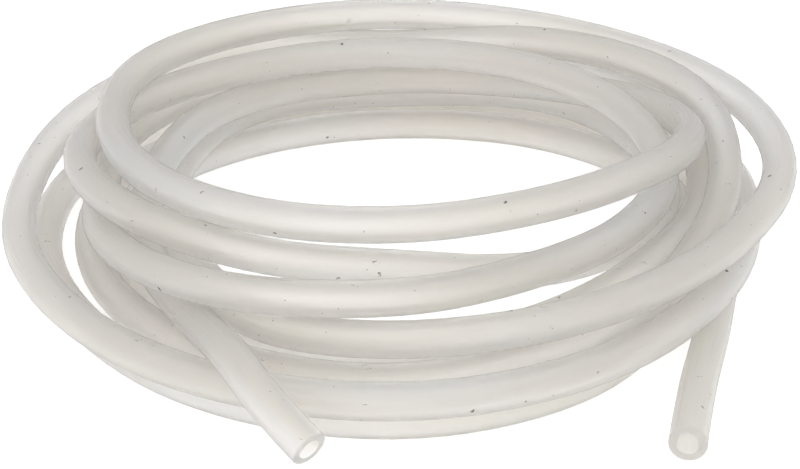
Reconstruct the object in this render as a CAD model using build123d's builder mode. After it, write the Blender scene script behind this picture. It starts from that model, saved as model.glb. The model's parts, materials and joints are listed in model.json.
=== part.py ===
from build123d import *
from math import cos, pi, radians, sin, tan
import os

# A length of soft silicone tube lying in a loose coil on a flat surface.
# Millimetres, +Z up, the coil's open front and both tube ends towards -Y.

# ---------------------------------------------------------------- driving dimensions
outer_diameter = 10.0
bore_diameter = 6.0
coil_radius = 90.0  # from the coil's axis to the middle of the pack of turns
start_trim = 0.0  # extra length of the upper end, straight out
end_trim = 0.0  # extra length of the lower end, straight out

# ---------------------------------------------------------------- how the tube lies
# A place on the route is an angle in degrees, clockwise seen from above, from the front (0) by
# the left (90), the back (180) and the right (270), with how far the tube's centre lies outside
# coil_radius and how high it lies above the surface, both in tube diameters.

# The upper end leaves the pack between the turns and droops over the front.
upper_tail = [
    (9.5, 4.28, 1.30),
    (15.7, 3.37, 1.95),
    (22.3, 2.22, 2.48),
    (31.1, 0.83, 2.12),
    (41.7, -0.25, 1.85),
]

# One row a turn, one (out, up) pair each thirty degrees. The first row starts at the left front.
turns = [
    [(-1.30, 1.65), (-1.55, 1.56), (-1.28, 2.50), (-0.35, 2.36), (0.10, 2.20),
     (0.25, 2.38), (0.25, 3.04), (-0.50, 3.78), (-2.25, 4.04), (-2.74, 4.20)],
    [(-2.50, 4.24), (-1.95, 4.24), (-1.30, 4.26), (-0.70, 4.30), (0.22, 4.38), (0.63, 4.26),
     (1.00, 4.20), (2.20, 3.62), (2.75, 3.25), (2.20, 3.00), (1.00, 2.73), (0.55, 2.50)],
    [(0.00, 2.12), (-0.95, 1.56), (-2.65, 1.42), (-2.00, 0.52), (-1.15, 1.45), (0.63, 1.57),
     (0.93, 1.38), (1.20, 1.70), (0.00, 1.65), (-1.30, 1.40), (-2.70, 1.65), (-3.20, 2.10)],
    [(-2.90, 2.70), (-1.75, 3.05), (-0.32, 3.72), (0.40, 3.50), (0.20, 3.28), (-0.65, 3.44),
     (-0.67, 3.44), (-0.57, 3.33), (-0.88, 3.10), (-1.30, 2.70), (-1.88, 2.60), (-2.20, 2.57)],
    [(-0.95, 2.85), (0.35, 3.14), (0.15, 2.70), (-0.45, 2.34), (0.68, 2.22), (1.47, 2.21),
     (1.60, 2.22), (1.67, 2.62), (1.30, 2.35), (-0.15, 1.70), (-1.45, 1.50), (-1.50, 1.35)],
    [(-1.00, 1.20), (-1.40, 0.50), (-1.20, 0.50), (-0.98, 0.50), (0.08, 0.50), (0.16, 0.50),
     (0.36, 0.50), (0.65, 0.50), (0.50, 0.50), (-0.55, 0.50), (-0.50, 0.50), (0.70, 0.50)],
    [(1.40, 0.50), (1.23, 0.50), (0.96, 0.50), (1.50, 0.50), (2.60, 0.50), (2.60, 0.50),
     (2.57, 0.50), (2.75, 0.60), (2.60, 0.75), (1.25, 1.45), (1.05, 1.59), (1.32, 1.32)],
    [(1.95, 1.37), (1.85, 1.33), (1.67, 1.27), (2.27, 1.30), (2.75, 2.40), (1.98, 3.26),
     (0.25, 3.18), (0.75, 3.83), (1.65, 3.50), (0.50, 2.63), (-0.25, 1.68), (0.00, 1.34)],
    [(0.50, 1.10), (-0.10, 0.82), (-0.18, 0.74), (0.08, 0.66), (1.17, 0.52), (1.38, 0.50),
     (1.50, 0.50), (1.70, 0.50), (1.50, 0.50), (0.60, 0.50)],
]

# The lower end runs out along the surface at the right front.
lower_tail = [
    (287.0, 0.57, 0.50),
    (303.7, 1.28, 0.50),
    (318.3, 2.66, 0.50),
    (327.9, 4.57, 0.50),
]

station_angle = 30.0
first_station = 60.0
corner_share = 0.45  # of the shorter of a corner's two runs, which its arc takes up


def place(angle, out, up, corner=1.0):
    """The point of the route at an angle, with the corner standing proud of the arc by corner."""
    radius = corner * (coil_radius + out * outer_diameter)
    turn = radians(angle)
    return Vector(-radius * sin(turn), -radius * cos(turn), up * outer_diameter)


def lengthened(end, neighbour, extra):
    """An end point moved straight out, away from its neighbour."""
    return end + (end - neighbour).normalized() * extra


def route_points():
    """Every corner of the route, from the upper end to the lower one."""
    corner = 1 / cos(radians(station_angle / 2))
    points = [place(*spot) for spot in upper_tail]
    angle = first_station
    for turn in turns:
        for out, up in turn:
            points.append(place(angle, out, up, corner))
            angle += station_angle
    points += [place(*spot) for spot in lower_tail]
    points[0] = lengthened(points[0], points[1], start_trim)
    points[-1] = lengthened(points[-1], points[-2], end_trim)
    return points


def corner_radius(before, here, after):
    """The largest arc that leaves each of a corner's two runs its straight share."""
    run_in = here - before
    run_out = after - here
    shorter = min(run_in.length, run_out.length)
    return corner_share * shorter / tan(radians(run_in.get_angle(run_out)) / 2)


# ---------------------------------------------------------------- the tube
points = route_points()
radii = [corner_radius(*points[i - 1:i + 2]) for i in range(1, len(points) - 1)]

with BuildPart() as silicone_tube:
    with BuildLine() as route:
        FilletPolyline(*points, radius=radii)
    with BuildSketch(Plane(origin=route.line @ 0, z_dir=route.line % 0)):
        Circle(outer_diameter / 2)
        Circle(bore_diameter / 2, mode=Mode.SUBTRACT)
    sweep()

# The origin is on the surface, under the middle of the whole coil.
box = silicone_tube.part.bounding_box()
to_origin = Location((-box.center().X, -box.center().Y, -box.min.Z))
coil = silicone_tube.part.moved(to_origin)
coil.label = "silicone_tube"

os.makedirs("parts", exist_ok=True)
export_step(coil, "parts/silicone_tube.step")

# ---------------------------------------------------------------- what was made
length = route.wires()[0].length
section = pi * (outer_diameter**2 - bore_diameter**2) / 4
print("length", round(length), "mm")
print("arc radii", [round(radius) for radius in radii])
print("volume", round(coil.volume), "section times length", round(section * length))
print("size", coil.bounding_box().size)
for name, end, inward in (("upper", 0, 1), ("lower", -1, -2)):
    mouth = points[end] + to_origin.position
    axis = (points[end] - points[inward]).normalized()
    print(name, "end", mouth, "pointing", axis)
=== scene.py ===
# %% [markdown]
# # A loose coil of silicone tube
# The object is one length of soft, milky silicone tube: 6 mm bore, 10 mm outside, about five
# metres long, wound nearly nine times round and laid down with both cut ends free. The
# CAD part comes in first, as a fixed frame that everything else is measured from.

# %% Load the frame
import bpy
import json
import math
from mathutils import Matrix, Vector


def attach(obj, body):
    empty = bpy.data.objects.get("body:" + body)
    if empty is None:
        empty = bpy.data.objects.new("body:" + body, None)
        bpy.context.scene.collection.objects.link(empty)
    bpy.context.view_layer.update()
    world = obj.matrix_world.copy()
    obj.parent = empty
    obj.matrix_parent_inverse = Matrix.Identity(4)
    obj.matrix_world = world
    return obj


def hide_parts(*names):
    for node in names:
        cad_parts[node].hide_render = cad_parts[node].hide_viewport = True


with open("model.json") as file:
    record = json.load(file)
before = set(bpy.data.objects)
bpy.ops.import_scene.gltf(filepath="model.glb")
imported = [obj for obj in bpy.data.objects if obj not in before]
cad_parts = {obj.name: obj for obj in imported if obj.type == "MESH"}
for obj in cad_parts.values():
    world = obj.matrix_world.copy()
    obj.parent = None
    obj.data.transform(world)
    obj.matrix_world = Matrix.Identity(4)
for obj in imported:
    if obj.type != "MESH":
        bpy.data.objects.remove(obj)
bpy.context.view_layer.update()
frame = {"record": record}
bpy.ops.object.select_all(action="DESELECT")

# %% [markdown]
# ## How the tube lies
# The centre line repeats the route of the CAD tube, with a few points moved by up to 2.4 mm to
# set the gaps between the turns. A place on it is an angle, clockwise from above and starting
# at the front, with how far the tube lies outside the coil's middle radius and how high it
# lies, both in tube diameters. The turns are worked out in a loop, because their points stand
# at even angles, and the two tails are chosen point by point.

# %% Sizes, in metres
OUTER_DIAMETER = 0.010
BORE_DIAMETER = 0.006
COIL_RADIUS = 0.090
STATION_ANGLE = 30.0
FIRST_STATION = 60.0
LINE_STEPS = 8

# %% Where the tube goes
UPPER_TAIL = [
    (9.5, 4.28, 1.30),
    (15.7, 3.37, 1.95),
    (22.3, 2.22, 2.48),
    (31.1, 0.83, 2.08),
    (41.7, -0.25, 1.80),
]

TURNS = [
    [(-1.30, 1.65), (-1.55, 1.56), (-1.28, 2.50), (-0.35, 2.36), (0.10, 2.20),
     (0.25, 2.38), (0.25, 3.04), (-0.50, 3.78), (-2.25, 4.04), (-2.74, 4.20)],
    [(-2.50, 4.24), (-1.95, 4.25), (-1.30, 4.27), (-0.70, 4.30), (0.22, 4.38), (0.63, 4.26),
     (1.00, 4.20), (2.20, 3.62), (2.75, 3.25), (2.20, 3.00), (1.00, 2.73), (0.55, 2.50)],
    [(0.00, 2.12), (-0.95, 1.56), (-2.65, 1.42), (-2.00, 0.52), (-1.15, 1.45), (0.63, 1.57),
     (0.93, 1.38), (1.20, 1.70), (0.00, 1.65), (-1.30, 1.40), (-2.70, 1.65), (-3.20, 2.10)],
    [(-2.90, 2.84), (-1.80, 3.17), (-0.32, 3.66), (0.40, 3.50), (0.20, 3.28), (-0.65, 3.44),
     (-0.67, 3.44), (-0.57, 3.33), (-0.88, 3.10), (-1.30, 2.70), (-1.88, 2.60), (-2.20, 2.57)],
    [(-0.95, 2.87), (0.35, 3.09), (0.15, 2.70), (-0.45, 2.34), (0.68, 2.22), (1.47, 2.21),
     (1.60, 2.22), (1.67, 2.62), (1.30, 2.35), (-0.15, 1.70), (-1.45, 1.50), (-1.50, 1.35)],
    [(-1.00, 1.20), (-1.40, 0.50), (-1.20, 0.50), (-0.98, 0.50), (0.08, 0.50), (0.16, 0.50),
     (0.36, 0.50), (0.65, 0.50), (0.50, 0.50), (-0.55, 0.50), (-0.50, 0.50), (0.70, 0.50)],
    [(1.40, 0.50), (1.23, 0.50), (0.96, 0.50), (1.50, 0.50), (2.60, 0.50), (2.60, 0.50),
     (2.57, 0.50), (2.75, 0.60), (2.62, 0.82), (1.02, 1.52), (1.05, 1.59), (1.32, 1.32)],
    [(1.95, 1.37), (1.85, 1.33), (1.67, 1.27), (2.27, 1.30), (2.75, 2.40), (1.98, 3.26),
     (0.25, 3.18), (0.75, 3.83), (1.65, 3.50), (0.50, 2.63), (-0.25, 1.68), (0.00, 1.34)],
    [(0.50, 1.10), (-0.10, 0.82), (-0.18, 0.74), (0.08, 0.66), (1.17, 0.52), (1.38, 0.50),
     (1.50, 0.50), (1.70, 0.50), (1.50, 0.50), (0.60, 0.50)],
]

LOWER_TAIL = [
    (287.0, 0.57, 0.50),
    (303.7, 1.28, 0.50),
    (318.3, 2.66, 0.50),
    (327.9, 4.57, 0.50),
]


# %% From places to points
def place(angle, out, up, corner=1.0):
    """The point at an angle round the coil, standing proud of the curve by corner."""
    radius = corner * (COIL_RADIUS + out * OUTER_DIAMETER)
    turn = math.radians(angle)
    return Vector((-radius * math.sin(turn), -radius * math.cos(turn), up * OUTER_DIAMETER))


def route_points():
    """Every control point of the centre line, from the upper end to the lower one."""
    corner = 1 / math.cos(math.radians(STATION_ANGLE / 2))
    points = [place(*spot) for spot in UPPER_TAIL]
    angle = FIRST_STATION
    for turn in TURNS:
        for out, up in turn:
            points.append(place(angle, out, up, corner))
            angle += STATION_ANGLE
    points += [place(*spot) for spot in LOWER_TAIL]
    return points


# %% Put the route where the CAD tube is
def mouth_of(name):
    """The mouth of a bore mount, where its axis leaves the tube."""
    mount = next(m for m in frame["record"]["mounts"] if m["name"] == name)
    half_length = mount["dims"]["length_mm"] / 2000
    return Vector(mount["pos_m"]) + half_length * Vector(mount["axis"])


upper_mouth = mouth_of("upper_end_bore")
raw_points = route_points()
coil_axis = upper_mouth - raw_points[0]
points = [point + coil_axis for point in raw_points]
print(len(points), "control points, and the coil's axis stands at", coil_axis)

# %% [markdown]
# ## The camera
# A long lens, about 100 mm, stands two thirds of a metre away and looks down at about 26
# degrees, so the turns are seen from the front and from a little above. It is made early, so
# that the first renders already show whether the coil lies as it should.

# %% Camera
AIM = coil_axis + Vector((0, 0.0175, 0))
CAMERA_PLACE = coil_axis + Vector((0, -0.5899, 0.2890))

bpy.ops.object.camera_add(location=CAMERA_PLACE)
camera = bpy.context.object
camera.name = "camera"
camera.rotation_euler = (AIM - CAMERA_PLACE).to_track_quat("-Z", "Y").to_euler()
camera.data.lens = 99
camera.data.sensor_width = 36
camera.data.clip_start = 0.01
bpy.context.scene.camera = camera
print("the camera stands", round((CAMERA_PLACE - AIM).length, 3), "m from the coil")

# %% [markdown]
# ## The centre line
# A NURBS curve of order 3 with the route as its control points is smooth everywhere, as a
# tube is that has no kinks. Its order is set after its points, because a spline with too few
# points falls back to straight runs. Turning it into a mesh with no thickness gives the
# close points that the tube's wall will follow.

# %% Centre line
line_data = bpy.data.curves.new("centre_line", "CURVE")
line_data.dimensions = "3D"
line_data.resolution_u = LINE_STEPS
spline = line_data.splines.new("NURBS")
spline.points.add(len(points) - 1)
for knot, point in zip(spline.points, points):
    knot.co = (*point, 1.0)
spline.order_u = 3
spline.use_endpoint_u = True

line = bpy.data.objects.new("centre_line", line_data)
bpy.context.collection.objects.link(line)
bpy.context.view_layer.update()
line_mesh = bpy.data.meshes.new_from_object(line)
path = [vertex.co.copy() for vertex in line_mesh.vertices]
bpy.data.meshes.remove(line_mesh)
bpy.data.objects.remove(line)

# %% [markdown]
# ## The tube's wall
# The real tube is extruded: a ring pushed out of a die, so its section is the same all the
# way. Rings of points are laid square to the centre line, one set for the outside and one
# for the bore, and bridged into one closed skin. Each ring is turned as little as possible
# from the one before, so that the wall isn't twisted. The cut ends get a hair of rounding,
# as a blade leaves them. Every point also keeps its place on the tube, for the finish.

# %% Ring frames along the line
OUTER_SIDES = 36
CUT_ROUNDING = 0.00025


def ring_frames(line_points):
    """For each point, the line's direction and two directions square to it, untwisted."""
    frames = []
    side = Vector((0, 0, 1))
    last = len(line_points) - 1
    for i, point in enumerate(line_points):
        ahead = (line_points[min(i + 1, last)] - line_points[max(i - 1, 0)]).normalized()
        side = (side - ahead * side.dot(ahead)).normalized()
        frames.append((point, ahead, side, ahead.cross(side)))
    return frames


frames = ring_frames(path)
print("made", len(frames), "ring frames")


# %% Rings of points
def ring(frame_at, radius, along_shift=0.0):
    """A ring of points round the line, moved along it by along_shift."""
    centre, ahead, side, up = frame_at
    found = []
    for k in range(OUTER_SIDES):
        turn = 2 * math.pi * k / OUTER_SIDES
        found.append(centre + ahead * along_shift
                     + side * (radius * math.cos(turn)) + up * (radius * math.sin(turn)))
    return found


outer = OUTER_DIAMETER / 2
bore = BORE_DIAMETER / 2
distances = [0.0]
for a, b in zip(path, path[1:]):
    distances.append(distances[-1] + (b - a).length)

rings = []
ring_places = []
for i, frame_at in enumerate(frames):
    if i == 0:
        rings.append(ring(frame_at, outer - CUT_ROUNDING))
        ring_places.append((distances[0], outer - CUT_ROUNDING))
        rings.append(ring(frame_at, outer, CUT_ROUNDING))
    elif i == len(frames) - 1:
        rings.append(ring(frame_at, outer, -CUT_ROUNDING))
        ring_places.append((distances[-1], outer))
        rings.append(ring(frame_at, outer - CUT_ROUNDING))
    else:
        rings.append(ring(frame_at, outer))
    ring_places.append((distances[i], outer))
outside_rings = len(rings)
for i in range(len(frames) - 1, -1, -1):
    rings.append(ring(frames[i], bore))
    ring_places.append((distances[i], bore))
print(outside_rings, "rings outside and", len(rings) - outside_rings, "in the bore")

# %% Bridge the rings into one skin
vertices = [point for one in rings for point in one]
faces = []
for i in range(len(rings)):
    here = i * OUTER_SIDES
    there = ((i + 1) % len(rings)) * OUTER_SIDES
    for k in range(OUTER_SIDES):
        following = (k + 1) % OUTER_SIDES
        faces.append((here + k, here + following, there + following, there + k))

tube_data = bpy.data.meshes.new("silicone_tube_wall")
tube_data.from_pydata(vertices, [], faces)
tube = bpy.data.objects.new("silicone_tube_wall", tube_data)
bpy.context.collection.objects.link(tube)
print(len(tube_data.polygons), "faces in the wall")

# %% Keep each point's place on the tube
# tube_place is (metres along, then the two coordinates across the section), which has no
# seam, so a pattern drawn with it runs along the tube and closes round it.
tube_place = tube_data.attributes.new("tube_place", "FLOAT_VECTOR", "POINT")
for i, (along, radius) in enumerate(ring_places):
    for k in range(OUTER_SIDES):
        turn = 2 * math.pi * k / OUTER_SIDES
        spot = (along, radius * math.cos(turn), radius * math.sin(turn))
        tube_place.data[i * OUTER_SIDES + k].vector = spot

# %% Smooth, facing outwards
bpy.context.view_layer.objects.active = tube
tube.select_set(True)
bpy.ops.object.mode_set(mode="EDIT")
bpy.ops.mesh.select_all(action="SELECT")
bpy.ops.mesh.normals_make_consistent(inside=False)
bpy.ops.object.mode_set(mode="OBJECT")
bpy.ops.object.shade_smooth_by_angle(angle=math.radians(40))
bpy.ops.object.select_all(action="DESELECT")
print("the wall is", len(tube_data.vertices), "points, smooth but for the cut edges")

# %% [markdown]
# ## The finish
# Silicone tube is milky: light goes in, is scattered many times and comes out again a little
# warmer, while some passes straight on and shows the bore. Subsurface scattering alone makes
# it look like porcelain, so most of the surface is rough glass, which lets each wall show
# what is behind it. A very faint warm glow is painted light, standing in for the light that
# wanders from turn to turn; it lightens the shade between the turns.
# Over that go streaks from the die along the tube, clouds of slightly different tint, and
# dust: silicone is tacky, so specks and short fibres stick to it.


# %% Helper for nodes
def node(tree, kind, x, y, **values):
    """Add a node at a place, with input values by name."""
    made = tree.nodes.new(kind)
    made.location = (x, y)
    for name, value in values.items():
        made.inputs[name.replace("_", " ")].default_value = value
    return made


# %% Tint clouds and die streaks
silicone = bpy.data.materials.new("milky_silicone")
silicone.use_nodes = True
tree = silicone.node_tree
tree.nodes.clear()
link = tree.links.new

output = node(tree, "ShaderNodeOutputMaterial", 1200, 0)
principled = node(tree, "ShaderNodeBsdfPrincipled", 900, 0)
link(principled.outputs["BSDF"], output.inputs["Surface"])

on_tube = node(tree, "ShaderNodeAttribute", -1200, 0)
on_tube.attribute_name = "tube_place"
in_space = node(tree, "ShaderNodeTexCoord", -1200, -400)

cloud_mapping = node(tree, "ShaderNodeMapping", -1000, 200)
cloud_mapping.inputs["Scale"].default_value = (9, 60, 60)
link(on_tube.outputs["Vector"], cloud_mapping.inputs["Vector"])
clouds = node(tree, "ShaderNodeTexNoise", -800, 200, Scale=1.0, Detail=3.0, Roughness=0.55)
link(cloud_mapping.outputs["Vector"], clouds.inputs["Vector"])

tint = node(tree, "ShaderNodeValToRGB", -600, 200)
tint.color_ramp.elements[0].position = 0.32
tint.color_ramp.elements[0].color = (0.96, 0.953, 0.905, 1)
tint.color_ramp.elements[1].position = 0.68
tint.color_ramp.elements[1].color = (0.985, 0.99, 0.99, 1)
warm = tint.color_ramp.elements.new(0.5)
warm.color = (0.985, 0.96, 0.935, 1)
link(clouds.outputs["Fac"], tint.inputs["Fac"])

streak_mapping = node(tree, "ShaderNodeMapping", -1000, -100)
streak_mapping.inputs["Scale"].default_value = (34, 1200, 1200)
link(on_tube.outputs["Vector"], streak_mapping.inputs["Vector"])
streaks = node(tree, "ShaderNodeTexNoise", -800, -100, Scale=1.0, Detail=4.0, Roughness=0.6)
link(streak_mapping.outputs["Vector"], streaks.inputs["Vector"])

streaked = node(tree, "ShaderNodeMix", -300, 150)
streaked.data_type = "RGBA"
streaked.blend_type = "SOFT_LIGHT"
streaked.inputs["Factor"].default_value = 0.45
link(tint.outputs["Color"], streaked.inputs["A"])
link(streaks.outputs["Color"], streaked.inputs["B"])

# %% Dust specks and fibres
# Each kind of dust is cells in space, a share of which carry a speck at their middle. Noise
# bends the space first, so no speck is round. Stretched cells give short fibres.
wobble = node(tree, "ShaderNodeTexNoise", -1000, -600, Scale=900.0, Detail=1.0)
link(in_space.outputs["Object"], wobble.inputs["Vector"])


def dust(y, turned, stretch, wobble_size, share, edge, strength):
    """A mask of specks in cells turned and stretched, carried by a share of the cells."""
    bent = node(tree, "ShaderNodeVectorMath", -900, y)
    bent.operation = "MULTIPLY_ADD"
    bent.inputs[1].default_value = (wobble_size,) * 3
    link(wobble.outputs["Color"], bent.inputs[0])
    link(in_space.outputs["Object"], bent.inputs[2])
    mapping = node(tree, "ShaderNodeMapping", -750, y, Rotation=turned, Scale=stretch)
    link(bent.outputs["Vector"], mapping.inputs["Vector"])
    cells = node(tree, "ShaderNodeTexVoronoi", -600, y, Scale=1.0)
    link(mapping.outputs["Vector"], cells.inputs["Vector"])
    near = node(tree, "ShaderNodeMapRange", -400, y, From_Min=edge * 0.5, From_Max=edge,
                To_Min=strength, To_Max=0.0)
    link(cells.outputs["Distance"], near.inputs["Value"])
    carries = node(tree, "ShaderNodeMath", -400, y - 200)
    carries.operation = "LESS_THAN"
    carries.inputs[1].default_value = share
    link(cells.outputs["Color"], carries.inputs[0])
    mask = node(tree, "ShaderNodeMath", -200, y)
    mask.operation = "MULTIPLY"
    link(near.outputs["Result"], mask.inputs[0])
    link(carries.outputs["Value"], mask.inputs[1])
    return mask


coarse = dust(-500, (0, 0, 0), (110, 110, 110), 0.0016, 0.55, 0.078, 0.95)
fine = dust(-900, (0.5, 0.2, 0), (230, 230, 230), 0.0008, 0.5, 0.075, 0.6)
fibres = dust(-1300, (0.4, 0.9, 0.6), (60, 420, 420), 0.0022, 0.42, 0.10, 0.8)

specks = node(tree, "ShaderNodeMath", 0, -600)
specks.operation = "MAXIMUM"
link(coarse.outputs["Value"], specks.inputs[0])
link(fine.outputs["Value"], specks.inputs[1])
all_dust = node(tree, "ShaderNodeMath", 150, -700)
all_dust.operation = "MAXIMUM"
link(specks.outputs["Value"], all_dust.inputs[0])
link(fibres.outputs["Value"], all_dust.inputs[1])

DUST_COLOUR = (0.010, 0.007, 0.005, 1)

dusty = node(tree, "ShaderNodeMix", 300, 100)
dusty.data_type = "RGBA"
dusty.inputs["B"].default_value = DUST_COLOUR
link(all_dust.outputs["Value"], dusty.inputs["Factor"])
link(streaked.outputs["Result"], dusty.inputs["A"])
link(dusty.outputs["Result"], principled.inputs["Base Color"])

# %% The surface itself
SILICONE_IOR = 1.41
SEE_THROUGH = 0.8
# The faint warm emission is painted light: the silicone doesn't glow, and this stands in for
# light that wanders between the turns and lightens their shade.
PAINTED_GLOW_COLOUR = (1, 0.98, 0.935, 1)
PAINTED_GLOW_STRENGTH = 0.03

principled.inputs["IOR"].default_value = SILICONE_IOR
principled.inputs["Transmission Weight"].default_value = SEE_THROUGH
principled.inputs["Emission Color"].default_value = PAINTED_GLOW_COLOUR
principled.inputs["Emission Strength"].default_value = PAINTED_GLOW_STRENGTH

roughness = node(tree, "ShaderNodeMapRange", 400, -150)
roughness.inputs["To Min"].default_value = 0.26
roughness.inputs["To Max"].default_value = 0.56
link(streaks.outputs["Fac"], roughness.inputs["Value"])
link(roughness.outputs["Result"], principled.inputs["Roughness"])

shine = node(tree, "ShaderNodeMapRange", 400, -500, From_Min=0.48, From_Max=0.7, To_Max=0.4)
link(streaks.outputs["Fac"], shine.inputs["Value"])
link(shine.outputs["Result"], principled.inputs["Coat Weight"])
principled.inputs["Coat Roughness"].default_value = 0.22
principled.inputs["Coat IOR"].default_value = 1.5

ripple = node(tree, "ShaderNodeBump", 600, -350, Strength=0.18, Distance=0.0006)
link(streaks.outputs["Fac"], ripple.inputs["Height"])
link(ripple.outputs["Normal"], principled.inputs["Normal"])

tube_data.materials.append(silicone)
print("the silicone finish has", len(tree.nodes), "nodes")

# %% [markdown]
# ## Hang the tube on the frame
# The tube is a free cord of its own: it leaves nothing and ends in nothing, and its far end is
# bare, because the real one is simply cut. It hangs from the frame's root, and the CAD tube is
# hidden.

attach(tube, "root")
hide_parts("silicone_tube")

# %% [markdown]
# ## Floor and light
# A pale table in a white room, which gives most of the light, evenly from all sides. A broad
# lamp low in front lights the inside of the turns, and a weak one overhead and behind keeps
# the long highlight near the top of every turn.

# %% Floor
FLOOR_SIZE = 8
FLOOR_DROP = 0.0001
FLOOR_GLOW = 0.6

bpy.ops.mesh.primitive_plane_add(size=FLOOR_SIZE, location=(0, 0, -FLOOR_DROP))
floor = bpy.context.object
floor.name = "floor"

paper = bpy.data.materials.new("pale_paper")
paper.use_nodes = True
paper_tree = paper.node_tree
paper_tree.nodes.clear()
paper_output = node(paper_tree, "ShaderNodeOutputMaterial", 600, 0)
paper_diffuse = node(paper_tree, "ShaderNodeBsdfDiffuse", 0, 100)
paper_diffuse.inputs["Color"].default_value = (0.86, 0.86, 0.86, 1)
paper_glow = node(paper_tree, "ShaderNodeEmission", 0, -100)
seen = node(paper_tree, "ShaderNodeLightPath", -800, -100)
seen_or_mirrored = node(paper_tree, "ShaderNodeMath", -600, -100)
seen_or_mirrored.operation = "MAXIMUM"
seen_at_all = node(paper_tree, "ShaderNodeMath", -400, -100)
seen_at_all.operation = "MAXIMUM"
glow_strength = node(paper_tree, "ShaderNodeMath", -200, -100)
glow_strength.operation = "MULTIPLY"
glow_strength.inputs[1].default_value = FLOOR_GLOW
paper_sum = node(paper_tree, "ShaderNodeAddShader", 300, 0)
paper_tree.links.new(seen.outputs["Is Camera Ray"], seen_or_mirrored.inputs[0])
paper_tree.links.new(seen.outputs["Is Glossy Ray"], seen_or_mirrored.inputs[1])
paper_tree.links.new(seen_or_mirrored.outputs["Value"], seen_at_all.inputs[0])
paper_tree.links.new(seen.outputs["Is Transmission Ray"], seen_at_all.inputs[1])
paper_tree.links.new(seen_at_all.outputs["Value"], glow_strength.inputs[0])
paper_tree.links.new(glow_strength.outputs["Value"], paper_glow.inputs["Strength"])
paper_tree.links.new(paper_diffuse.outputs["BSDF"], paper_sum.inputs[0])
paper_tree.links.new(paper_glow.outputs["Emission"], paper_sum.inputs[1])
paper_tree.links.new(paper_sum.outputs["Shader"], paper_output.inputs["Surface"])
floor.data.materials.append(paper)


# %% Lamps
def soft_lamp(name, place_at, aim_at, size, power):
    """A square area lamp at a place, turned to its aim."""
    bpy.ops.object.light_add(type="AREA", location=place_at)
    lamp = bpy.context.object
    lamp.name = name
    towards = Vector(aim_at) - Vector(place_at)
    lamp.rotation_euler = towards.to_track_quat("-Z", "Y").to_euler()
    lamp.data.size = size
    lamp.data.energy = power
    return lamp


LAMP_SIZE = 0.9
OVERHEAD_WATTS = 0.6
FRONT_WATTS = 3.5
ORIGIN = (0, 0, 0)

soft_lamp("overhead_lamp", (0, 0.35, 0.9), ORIGIN, LAMP_SIZE, OVERHEAD_WATTS)
soft_lamp("front_lamp", (-0.15, -1.0, 0.45), ORIGIN, LAMP_SIZE, FRONT_WATTS)

# %% World
ROOM_LIGHT = 0.62
LIGHT_STEPS = 24
DIFFUSE_STEPS = 8

world = bpy.data.worlds.new("white_room")
bpy.context.scene.world = world
world.use_nodes = True
sky = world.node_tree.nodes["Background"]
sky.inputs["Color"].default_value = (1, 1, 1, 1)
sky.inputs["Strength"].default_value = ROOM_LIGHT
bpy.context.scene.view_settings.view_transform = "Standard"

# Light crosses many walls on its way through the coil, so it is followed for longer.
cycles = bpy.context.scene.cycles
cycles.max_bounces = LIGHT_STEPS
cycles.transmission_bounces = LIGHT_STEPS
cycles.diffuse_bounces = DIFFUSE_STEPS
print("two lamps and a white room")
